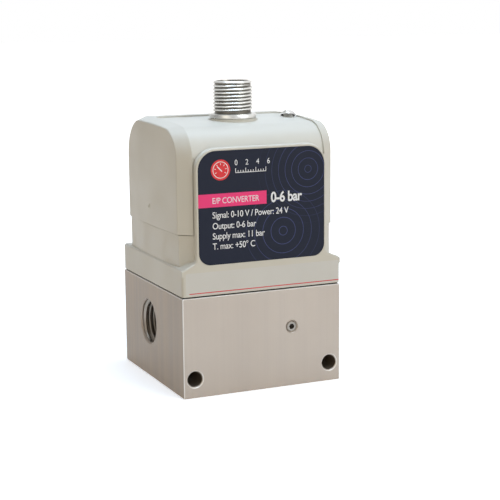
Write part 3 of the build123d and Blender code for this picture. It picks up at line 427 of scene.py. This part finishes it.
class CONVERTER_OT_block(bpy.types.Operator):
    """Brushed and anodised finish of the valve block, with painted shade on its sides and a painted highlight along its
    edges
    """

    bl_idname = "converter.block"
    bl_label = "Valve block finish"

    def execute(self, context):
        settings = context.scene.converter_block
        material, tree, shader = new_material("Brushed champagne anodising")
        streaks = use(tree, streak_group(), Fine=1500.0, Broad=240.0).outputs[0]
        normal = tree.add("ShaderNodeSeparateXYZ")
        tree.feed(tree.add("ShaderNodeNewGeometry").outputs["True Normal"], normal.inputs[0])
        sides = tree.math("ABSOLUTE", normal.outputs[0])
        depth = tree.rescale(sides, 0.4, 0.9, 0.22, 1.0)
        mottled = use(tree, mottle_group(), Color=rgba(settings.tint), Scale=45.0, Contrast=0.07).outputs[0]
        shade = tuple(1 - settings.streaks for _ in range(3))
        factor = tree.math("MULTIPLY", depth, tree.math("SUBTRACT", 1.0, streaks))
        brushed = tree.blend(factor, mottled, tree.blend(1.0, mottled, shade, "MULTIPLY"))
        # Painted shade: the block's left and right faces are multiplied by a darker colour
        side_shade_mask = tree.rescale(sides, 0.6, 0.9, 0.0, 1.0)
        brushed = tree.blend(side_shade_mask, brushed, tree.blend(1.0, brushed, settings.painted_side_shade[:], "MULTIPLY"))
        # Painted highlight: lightens the colour along the block's edges and round its hole mouths
        edge_highlight = tree.math("MULTIPLY", self.painted_edge_highlight(tree), settings.painted_edge_light)
        tree.feed(tree.blend(edge_highlight, brushed, (0.9, 0.88, 0.84)), shader.inputs["Base Color"])
        rough = tree.rescale(streaks, 0.0, 1.0, settings.roughness - 0.06, settings.roughness + 0.08)
        tree.feed(rough, shader.inputs["Roughness"])
        bump = tree.add("ShaderNodeBump")
        bump.inputs["Distance"].default_value = 0.008 * MM
        tree.feed(streaks, bump.inputs["Height"])
        tree.feed(bump.outputs[0], shader.inputs["Normal"])
        shader.inputs["Metallic"].default_value = 0.75
        paint("body_block", material)
        return {"FINISHED"}

    def painted_edge_highlight(self, tree):
        """Mask of the painted highlight along the block's upright and top edges and round the mouths of its front
        holes, where light catches their small chamfers.
        """
        x, y, z = tree.place()
        low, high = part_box("body_block")
        half = high.x
        width = 0.22 * MM
        near_x = tree.math("GREATER_THAN", tree.math("ABSOLUTE", x), half - width)
        near_y = tree.math("GREATER_THAN", tree.math("ABSOLUTE", y), half - width)
        mask = tree.math("MAXIMUM", tree.math("MULTIPLY", near_x, near_y), tree.math("GREATER_THAN", z, high.z - width))
        holes = next(m for m in frame["record"]["mounts"] if m["name"] == "mounting_holes")
        radius = holes["dims"]["hole_r_mm"] * MM
        across = tree.math("SUBTRACT", tree.math("ABSOLUTE", x), holes["dims"]["spacing_x_mm"] * MM / 2)
        above = tree.math("SUBTRACT", z, holes["pos_m"][2])
        away = tree.math("SQRT", tree.math("ADD", tree.math("MULTIPLY", across, across),
                                           tree.math("MULTIPLY", above, above)))
        mouth = tree.math("MULTIPLY", tree.between(away, radius + 0.02 * MM, radius + 0.42 * MM), near_y)
        return tree.math("MAXIMUM", mask, mouth)


class CONVERTER_OT_housing(bpy.types.Operator):
    """Moulded plastic finish of the housing and cover, with the gate mark"""

    bl_idname = "converter.housing"
    bl_label = "Housing finish"

    def execute(self, context):
        settings = context.scene.converter_housing
        plastic = finish("Warm grey moulded plastic", settings.tint, settings.roughness, contrast=0.045, mottle=38.0,
                         grain=5200.0, depth=settings.texture_depth, Specular_IOR_Level=0.45)
        paint("base_housing", plastic)
        paint("cover_shell", plastic)
        points, faces = turned_mesh("gate", [(0, -0.1), (0.75, -0.1), (0.75, 0.0), (0.6, 0.16), (0.42, 0.2),
                                             (0.3, 0.06), (0, 0.03)], 24)
        place = Matrix.Translation((-24.93 * MM, 0.8 * MM, 52.5 * MM)) @ Matrix.Rotation(-math.pi / 2, 4, "Y")
        mesh = mesh_from("gate_mark", moved(points, place @ Matrix.Scale(MM, 4)), faces)
        new_piece("gate_mark", mesh, plastic)
        return {"FINISHED"}


class CONVERTER_OT_connector(bpy.types.Operator):
    """Threaded connector shell with its insert and contacts"""

    bl_idname = "converter.connector"
    bl_label = "Round plug connector"

    def execute(self, context):
        settings = context.scene.converter_connector
        nickel = finish("Satin nickel plate", srgb(205, 201, 194), 0.3, metallic=1.0, contrast=0.08, mottle=300.0,
                        grain=6000.0, depth=0.004 * MM)
        low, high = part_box("connector_shell")
        axis = Vector(((low.x + high.x) / 2, (low.y + high.y) / 2, 0))
        plated = self.shaded_thread_plate(settings, axis)
        root = settings.root / MM
        start = settings.thread_low / MM
        end = settings.thread_high / MM
        top = high.z / MM
        profile = [
            (4.85, low.z / MM), (5.93, low.z / MM), (5.93, 77.4), (5.63, 77.6), (5.63, 77.8), (6.6, 77.8), (6.9, 78.1),
            (6.9, 78.95), (6.78, 79.15), (6.4, 79.3), (5.75, 79.36), (root, 79.42), (root, end), (5.6, end + 0.04),
            (5.78, end + 0.1), (5.76, top - 0.52), (5.5, top - 0.24), (5.22, top - 0.04), (5.05, top), (4.93, top - 0.05),
            (4.85, top - 0.2),
        ]
        points, faces = turned_mesh("shell", profile, 96)
        ridge_points, ridge_faces = thread_mesh(root, settings.crest / MM, settings.pitch / MM, start, end,
                                                settings.steps)
        count = len(points)
        points += ridge_points
        faces += [tuple(i + count for i in face) for face in ridge_faces]
        place = Matrix.Translation(axis) @ Matrix.Scale(MM, 4)
        piece = new_piece("threaded_connector_shell", mesh_from("threaded_connector_shell", moved(points, place), faces),
                          plated)
        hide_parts("connector_shell")
        paint("connector_insert", finish("Black insulating plastic", srgb(24, 24, 25), 0.45, contrast=0.1))
        gold = finish("Gold plated contact", srgb(226, 186, 104), 0.25, metallic=1.0, contrast=0.08, mottle=400.0)
        paint("connector_pins", gold)
        paint("sensor_leads", gold)
        paint("connector_nut", nickel)
        return {"FINISHED"}

    def shaded_thread_plate(self, settings, axis):
        """Nickel plate with painted shade: darker in the thread's grooves and inside the shell's bore, full nickel
        colour on the crests and above the thread.
        """
        material, tree, shader = new_material("Threaded nickel plate")
        x, y, z = tree.place()
        across = tree.math("SUBTRACT", x, axis.x)
        along = tree.math("SUBTRACT", y, axis.y)
        radius = tree.math("SQRT", tree.math("ADD", tree.math("MULTIPLY", across, across),
                                             tree.math("MULTIPLY", along, along)))
        depth = tree.rescale(radius, settings.root, settings.crest - 0.12 * MM, 0.0, 1.0)
        inside = tree.math("LESS_THAN", radius, 4.9 * MM)
        outside = tree.math("GREATER_THAN", z, settings.thread_high)
        # Painted shade: the grooves and the bore get the darker colour, while the crests and the top keep the nickel
        # colour
        bright = tree.math("MULTIPLY", tree.math("MAXIMUM", depth, outside), tree.math("SUBTRACT", 1.0, inside))
        tone = tree.blend(bright, settings.painted_hollow_shade[:], srgb(226, 225, 221))
        tone = use(tree, mottle_group(), Color=tone, Scale=300.0, Contrast=0.06).outputs[0]
        tree.feed(tone, shader.inputs["Base Color"])
        tree.feed(tree.rescale(noise(tree, 900.0, 2.0), 0.3, 0.7, 0.26, 0.34), shader.inputs["Roughness"])
        shader.inputs["Metallic"].default_value = 1.0
        return material


class CONVERTER_OT_ports(bpy.types.Operator):
    """Threads in the side ports and in the exhaust port"""

    bl_idname = "converter.ports"
    bl_label = "Port threads"

    def execute(self, context):
        settings = context.scene.converter_ports
        bare = finish("Cut aluminium thread", srgb(150, 141, 130), 0.35, metallic=1.0, contrast=0.15, mottle=300.0)
        mounts = {m["name"]: m for m in frame["record"]["mounts"]}
        for name, side in (("supply_port", -1), ("outlet_port", 1)):
            mount = mounts[name]
            root = mount["dims"]["r_mm"]
            reach = mount["dims"]["length_mm"]
            points, faces = thread_mesh(root, settings.side_crest / MM, settings.side_pitch / MM, 0.0, reach, 48)
            centre = Vector(mount["pos_m"])
            centre.x = side * (0.025 - 0.4 * MM)
            turn = Matrix.Rotation(-side * math.pi / 2, 4, "Y")
            place = Matrix.Translation(centre) @ turn @ Matrix.Scale(MM, 4)
            label = name + "_thread"
            new_piece(label, mesh_from(label, moved(points, place), faces), bare)
        brass = finish("Turned brass", srgb(205, 170, 105), 0.3, metallic=1.0, contrast=0.12, mottle=200.0)
        for node in ("bottom_plug", "poppet"):
            paint(node, brass)
        mount = mounts["exhaust_port"]
        points, faces = thread_mesh(mount["dims"]["r_mm"], settings.exhaust_crest / MM, settings.exhaust_pitch / MM,
                                    1.4, 5.8, 40)
        place = Matrix.Translation((mount["pos_m"][0], mount["pos_m"][1], 0)) @ Matrix.Scale(MM, 4)
        new_piece("exhaust_port_thread", mesh_from("exhaust_port_thread", moved(points, place), faces), brass)
        return {"FINISHED"}


class CONVERTER_OT_label(bpy.types.Operator):
    """Printed label: fine line ground, band and ratings"""

    bl_idname = "converter.label"
    bl_label = "Front label"

    def execute(self, context):
        settings = context.scene.converter_label
        material, tree, shader = new_material("Printed label film")
        x, y, z = tree.place()
        lines = 0.0
        for centre_x, centre_z, spacing, reach in ((0.0145, 0.064, 0.0021, 0.0165), (0.0065, 0.0465, 0.0026, 0.0145)):
            across = tree.math("SUBTRACT", x, centre_x)
            along = tree.math("SUBTRACT", z, centre_z)
            distance = tree.math("SQRT", tree.math("ADD", tree.math("MULTIPLY", across, across),
                                                   tree.math("MULTIPLY", along, along)))
            wave = tree.math("FRACT", tree.math("DIVIDE", distance, spacing))
            thin = tree.math("LESS_THAN", tree.math("ABSOLUTE", tree.math("SUBTRACT", wave, 0.5)), 0.036)
            near = tree.rescale(distance, reach * 0.4, reach, 0.8, 0.0)
            lines = tree.math("MAXIMUM", lines, tree.math("MULTIPLY", thin, near))
        ground = use(tree, mottle_group(), Color=rgba(settings.ground), Scale=90.0, Contrast=0.12).outputs[0]
        printed = tree.blend(lines, ground, settings.lines[:])
        band = tree.math("MULTIPLY", tree.between(x, settings.band_left, settings.band_right),
                         tree.between(z, settings.band_low, settings.band_high))
        printed = tree.blend(band, printed, settings.band[:])
        tree.feed(printed, shader.inputs["Base Color"])
        tree.feed(tree.rescale(noise(tree, 700.0, 2.0), 0.3, 0.7, 0.42, 0.52), shader.inputs["Roughness"])
        shader.inputs["Specular IOR Level"].default_value = 0.2
        bump = tree.add("ShaderNodeBump")
        bump.inputs["Distance"].default_value = 0.004 * MM
        tree.feed(use(tree, grain_group(), Scale=5000.0).outputs[0], bump.inputs["Height"])
        tree.feed(bump.outputs[0], shader.inputs["Normal"])
        paint("front_label", material)
        ink = finish("White label ink", settings.ink[:], 0.45, contrast=0.05, mottle=500.0)
        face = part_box("front_label")[0].y
        texts = [
            ("E/P CONVERTER", -15.6, 55.75, 2.05, 0.0),
            ("Signal: 0-10 V / Power: 24 V", -15.6, 51.6, 2.2, 0.012),
            ("Output: 0-6 bar", -15.6, 48.5, 2.2, 0.012),
            ("Supply max: 11 bar", -15.6, 45.6, 2.2, 0.012),
            ("T. max: +50° C", -15.6, 42.7, 2.2, 0.012),
            ("0-6 bar", 2.6, 55.1, 3.5, 0.1),
            ("0     2     4     6", -8.6, 66.3, 1.9, 0.0),
        ]
        for number, (words, left, base, size, weight) in enumerate(texts):
            curve = bpy.data.curves.new(f"label_words_{number + 1}", "FONT")
            curve.body = words
            curve.size = size * MM * 1.18
            curve.offset = weight * MM
            curve.extrude = 0.004 * MM
            curve.resolution_u = 4
            curve.space_character = 0.95
            piece = bpy.data.objects.new(curve.name, curve)
            piece.matrix_world = Matrix.Translation((left * MM, face - 0.006 * MM, base * MM)) @ Matrix.Rotation(
                math.pi / 2, 4, "X") @ Matrix.Diagonal((0.86, 1, 1, 1))
            bpy.context.scene.collection.objects.link(piece)
            curve.materials.append(ink)
            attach(piece, BODY)
        red = finish("Red label ink", settings.mark[:], 0.45, contrast=0.05, mottle=500.0)
        disc, sides = turned_mesh("disc", [(0, 0.0), (2.95, 0.0), (2.95, 0.02), (0, 0.02)], 48)
        place = Matrix.Translation((-12.9 * MM, face - 0.006 * MM, 65.2 * MM)) @ Matrix.Rotation(-math.pi / 2, 4, "X")
        mesh = mesh_from("dial_disc", moved(disc, place @ Matrix.Scale(MM, 4)), sides)
        new_piece("dial_disc", mesh, red)
        self.gauge_mark(ink, face)
        return {"FINISHED"}

    def gauge_mark(self, ink, face):
        """Plain pressure dial in line work, and a scale with its ticks beside it."""
        points = []
        faces = []

        def bar(start, end, width):
            """Thin flat stroke between two points."""
            along = Vector((end[0] - start[0], end[1] - start[1])).normalized() * width / 2
            side = Vector((-along.y, along.x))
            count = len(points)
            for corner, sign in ((start, 1), (end, 1), (end, -1), (start, -1)):
                points.append((corner[0] + side.x * sign, 0.0, corner[1] + side.y * sign))
            faces.append((count, count + 1, count + 2, count + 3))

        centre = Vector((-12.9, 65.2))
        steps = 40
        for step in range(steps):
            a, b = 2 * math.pi * step / steps, 2 * math.pi * (step + 1.02) / steps
            bar(centre + 2.3 * Vector((math.cos(a), math.sin(a))), centre + 2.3 * Vector((math.cos(b), math.sin(b))),
                0.2)
        for step in range(7):
            a = math.radians(-30 + 40 * step)
            arm = Vector((math.cos(a), math.sin(a)))
            bar(centre + 1.4 * arm, centre + 1.9 * arm, 0.18)
        bar(centre + Vector((0.45, -0.45)), centre + Vector((-0.95, 0.95)), 0.3)
        bar(Vector((-8.4, 64.2)), Vector((1.2, 64.2)), 0.2)
        for step in range(13):
            tick = -8.3 + 0.783 * step
            bar(Vector((tick, 64.2)), Vector((tick, 65.4 if step % 4 == 0 else 64.85)), 0.2)
        place = Matrix.Translation((0, face - 0.014 * MM, 0)) @ Matrix.Scale(MM, 4)
        mesh = mesh_from("dial_mark", moved(points, place), faces)
        new_piece("dial_mark", mesh, ink)


class CONVERTER_OT_strip(bpy.types.Operator):
    """Pale film strip along the flange with its thin rule"""

    bl_idname = "converter.strip"
    bl_label = "flange_strip"

    def execute(self, context):
        settings = context.scene.converter_label
        material, tree, shader = new_material("Printed strip film")
        x, y, z = tree.place()
        rule = tree.math("MULTIPLY", tree.between(z, 30.33 * MM, 30.62 * MM), tree.between(x, -22.9 * MM, 24.6 * MM))
        ground = use(tree, mottle_group(), Color=rgba(settings.strip), Scale=60.0, Contrast=0.05).outputs[0]
        tree.feed(tree.blend(rule, ground, settings.rule[:]), shader.inputs["Base Color"])
        tree.feed(tree.rescale(noise(tree, 500.0, 2.0), 0.3, 0.7, 0.4, 0.5), shader.inputs["Roughness"])
        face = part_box("base_housing")[0].y
        left, right, low, high, corner = -23.9, 24.6, 29.95, 36.4, 0.6
        points = []
        for centre_x, centre_z, start in ((right - corner, high - corner, 0), (left + corner, high - corner, 90),
                                          (left + corner, low + corner, 180), (right - corner, low + corner, 270)):
            for step in range(7):
                a = math.radians(start + 15 * step)
                points.append(Vector((centre_x + corner * math.cos(a), 0, centre_z + corner * math.sin(a))) * MM)
        count = len(points)
        ring = [p + Vector((0, face - 0.012 * MM, 0)) for p in points]
        back = [p + Vector((0, face + 0.02 * MM, 0)) for p in points]
        faces = [tuple(range(count))]
        faces += [(i, (i + 1) % count, count + (i + 1) % count, count + i) for i in range(count)]
        new_piece("flange_strip", mesh_from("flange_strip", ring + back, faces), material)
        return {"FINISHED"}


class CONVERTER_OT_lens(bpy.types.Operator):
    """Clear status lens and the lamp under it"""

    bl_idname = "converter.lens"
    bl_label = "Status lens"

    def execute(self, context):
        material, tree, shader = new_material("Clear status lens")
        tint = use(tree, mottle_group(), Color=(0.93, 0.94, 0.95, 1), Scale=200.0, Contrast=0.04).outputs[0]
        tree.feed(tint, shader.inputs["Base Color"])
        tree.feed(tree.rescale(noise(tree, 900.0, 2.0), 0.3, 0.7, 0.02, 0.07), shader.inputs["Roughness"])
        shader.inputs["Transmission Weight"].default_value = 1.0
        shader.inputs["IOR"].default_value = 1.49
        paint("status_lens", material)
        paint("status_lamp", finish("Cast lamp body", srgb(226, 224, 205), 0.3, contrast=0.05, mottle=400.0))
        return {"FINISHED"}


class CONVERTER_OT_inside(bpy.types.Operator):
    """Finishes of the valve mechanism, electronics and fasteners"""

    bl_idname = "converter.inside"
    bl_label = "Inner pieces"

    def execute(self, context):
        rubber = finish("Matt black rubber", srgb(30, 29, 28), 0.75, contrast=0.15, mottle=120.0, depth=0.02 * MM)
        steel = finish("Zinc plated steel", srgb(190, 192, 194), 0.3, metallic=1.0, contrast=0.12, mottle=200.0)
        black = finish("Blackened steel", srgb(48, 47, 46), 0.4, metallic=0.9, contrast=0.15, mottle=250.0)
        plate = finish("Turned aluminium", srgb(205, 206, 208), 0.28, metallic=1.0, contrast=0.08, mottle=200.0)
        moulded = finish("Black moulded plastic", srgb(32, 32, 34), 0.5, contrast=0.12, mottle=90.0)
        green = finish("Green solder resist", srgb(24, 92, 52), 0.3, contrast=0.15, mottle=260.0)
        copper = finish("Varnished copper winding", srgb(150, 74, 34), 0.3, contrast=0.2, mottle=500.0)
        plug = finish("Bright plug screw", srgb(150, 143, 134), 0.35, metallic=1.0, contrast=0.15, mottle=400.0)
        finishes = [
            (rubber, ("seal_gasket", "cover_seal", "bottom_plug_seal", "stem_seal", "poppet_seal", "diaphragm",
                      "connector_seal", "sensor_seal")),
            (steel, ("poppet_spring", "piston_nut", "board_screws", "pilot_screws")),
            (black, ("tie_screws",)),
            (plate, ("piston", "piston_top_plate")),
            (moulded, ("board_components", "pressure_sensor", "fill_valve_base", "vent_valve_base")),
            (green, ("circuit_board",)),
            (copper, ("fill_valve_coil", "vent_valve_coil")),
            (plug, ("test_plug_screw",)),
        ]
        for side in ("fill", "vent"):
            finishes.append((steel, [f"{side}_valve_{part}" for part in ("yoke", "core", "plunger", "spring")]))
        for material, nodes in finishes:
            for node in nodes:
                paint(node, material)
        return {"FINISHED"}


class CONVERTER_OT_stage(bpy.types.Operator):
    """Camera, studio light and floor"""

    bl_idname = "converter.stage"
    bl_label = "Studio"

    def execute(self, context):
        settings = context.scene.converter_stage
        scene = context.scene
        turn, tilt, roll = (math.radians(v) for v in (settings.turn, settings.tilt, settings.roll))
        back = Vector((math.sin(turn) * math.cos(tilt), -math.cos(turn) * math.cos(tilt), math.sin(tilt)))
        right = Vector((math.cos(turn), math.sin(turn), 0))
        up = back.cross(right)
        level = math.cos(roll) * right + math.sin(roll) * up
        upright = math.cos(roll) * up - math.sin(roll) * right
        camera = bpy.data.objects.new("Camera", bpy.data.cameras.new("Camera"))
        camera.data.lens = settings.lens
        camera.data.sensor_width = 36
        camera.data.clip_start = 0.01
        axes = Matrix((level, upright, back)).transposed().to_4x4()
        camera.matrix_world = Matrix.Translation(settings.place) @ axes
        scene.collection.objects.link(camera)
        scene.camera = camera
        scene.view_settings.view_transform = "Standard"
        self.world(scene, settings)
        self.lamp("Key light", (0.34, -0.6, 0.42), 0.45, settings.key_level, settings.key_tone)
        self.lamp("Top light", (0.02, 0.02, 0.75), 0.4, settings.top_level, settings.top_tone)
        self.lamp("Fill light", (-0.6, -0.35, 0.3), 0.5, settings.fill_level, settings.fill_tone)
        if settings.show_floor:
            self.floor(settings)
        return {"FINISHED"}

    def world(self, scene, settings):
        """White backdrop behind the converter and a room that is darker on the left of the camera."""
        world = bpy.data.worlds.new("Studio")
        world.use_nodes = True
        tree = Tree(world.node_tree)
        background = world.node_tree.nodes["Background"]
        towards = tree.add("ShaderNodeSeparateXYZ")
        tree.feed(tree.add("ShaderNodeTexCoord").outputs["Generated"], towards.inputs[0])
        across, behind, above = towards.outputs
        side = tree.math("ADD", tree.math("MULTIPLY", across, 0.8), tree.math("MULTIPLY", above, 0.5))
        room = tree.rescale(side, -0.75, 0.6, settings.room_dark, 1.0)
        ahead = tree.math("ADD", tree.math("MULTIPLY", across, 0.4), tree.math("MULTIPLY", behind, 0.92))
        shown = tree.math("MAXIMUM", room, tree.rescale(ahead, 0.72, 0.9, 0.0, 1.0))
        path = tree.add("ShaderNodeLightPath")
        shown = tree.math("MAXIMUM", shown, path.outputs["Is Camera Ray"])
        tone = tree.blend(path.outputs["Is Diffuse Ray"], (1.0, 1.0, 1.0), settings.room_tone[:])
        tree.feed(tone, background.inputs["Color"])
        tree.feed(tree.math("MAXIMUM", shown, path.outputs["Is Diffuse Ray"]), background.inputs["Strength"])
        scene.world = world

    def lamp(self, name, place, size, power, tone):
        """Square soft light aimed at the converter."""
        light = bpy.data.lights.new(name, "AREA")
        light.size = size
        light.energy = power
        light.color = tone
        lamp = bpy.data.objects.new(name, light)
        aim = Vector((0, 0, 0.045)) - Vector(place)
        lamp.matrix_world = Matrix.Translation(place) @ aim.to_track_quat("-Z", "Y").to_matrix().to_4x4()
        bpy.context.scene.collection.objects.link(lamp)

    def floor(self, settings):
        """Pale seamless floor that reads as white in the view and keeps the converter's shadow."""
        material, tree, shader = new_material("Pale floor")
        shader.inputs["Roughness"].default_value = 0.9
        shader.inputs["Specular IOR Level"].default_value = 0.1
        path = tree.add("ShaderNodeLightPath")
        tone = use(tree, mottle_group(), Color=rgba(settings.floor_tone[:]), Scale=4.0, Contrast=0.01).outputs[0]
        tree.feed(tree.blend(path.outputs["Is Diffuse Ray"], tone, settings.floor_bounce[:]),
                  shader.inputs["Base Color"])
        shown = tree.math("MAXIMUM", path.outputs["Is Camera Ray"], path.outputs["Is Glossy Ray"])
        shown = tree.math("MAXIMUM", shown, path.outputs["Is Transmission Ray"])
        tree.feed((1.0, 1.0, 1.0, 1.0), shader.inputs["Emission Color"])
        x, y, z = tree.place()
        reach = tree.math("SQRT", tree.math("ADD", tree.math("MULTIPLY", x, x), tree.math("MULTIPLY", y, y)))
        glow = tree.rescale(reach, 0.1, 0.5, settings.floor_glow, settings.far_glow)
        tree.feed(tree.math("MULTIPLY", shown, glow), shader.inputs["Emission Strength"])
        half = 4.0
        mesh = bpy.data.meshes.new("floor")
        mesh.from_pydata([(-half, -half, 0), (half, -half, 0), (half, half, 0), (-half, half, 0)], [],
                         [(0, 1, 2, 3)])
        floor = bpy.data.objects.new("floor", mesh)
        floor.location.z = -0.05 * MM
        mesh.materials.append(material)
        bpy.context.scene.collection.objects.link(floor)


OPERATORS = (
    CONVERTER_OT_block,
    CONVERTER_OT_housing,
    CONVERTER_OT_connector,
    CONVERTER_OT_ports,
    CONVERTER_OT_label,
    CONVERTER_OT_strip,
    CONVERTER_OT_lens,
    CONVERTER_OT_inside,
    CONVERTER_OT_stage,
)
SETTINGS = {
    "converter_block": BlockSettings,
    "converter_housing": HousingSettings,
    "converter_connector": ConnectorSettings,
    "converter_ports": PortSettings,
    "converter_label": LabelSettings,
    "converter_stage": StageSettings,
}


class CONVERTER_PT_panel(bpy.types.Panel):
    """Sidebar panel that lists the converter's pieces"""

    bl_label = "Electro-pneumatic converter"
    bl_idname = "CONVERTER_PT_panel"
    bl_space_type = "VIEW_3D"
    bl_region_type = "UI"
    bl_category = "Converter"

    def draw(self, context):
        for operator in OPERATORS:
            self.layout.operator(operator.bl_idname)
        for name, group in SETTINGS.items():
            box = self.layout.box()
            for key in group.__annotations__:
                box.prop(getattr(context.scene, name), key)


def register():
    for group in SETTINGS.values():
        bpy.utils.register_class(group)
    for name, group in SETTINGS.items():
        setattr(bpy.types.Scene, name, PointerProperty(type=group))
    for operator in OPERATORS:
        bpy.utils.register_class(operator)
    bpy.utils.register_class(CONVERTER_PT_panel)


def unregister():
    bpy.utils.unregister_class(CONVERTER_PT_panel)
    for operator in reversed(OPERATORS):
        bpy.utils.unregister_class(operator)
    for name, group in SETTINGS.items():
        delattr(bpy.types.Scene, name)
        bpy.utils.unregister_class(group)


def main():
    """Build every piece in order."""
    register()
    bpy.ops.converter.block()
    bpy.ops.converter.housing()
    bpy.ops.converter.connector()
    bpy.ops.converter.ports()
    bpy.ops.converter.label()
    bpy.ops.converter.strip()
    bpy.ops.converter.lens()
    bpy.ops.converter.inside()
    bpy.ops.converter.stage()


if __name__ == "__main__":
    main()
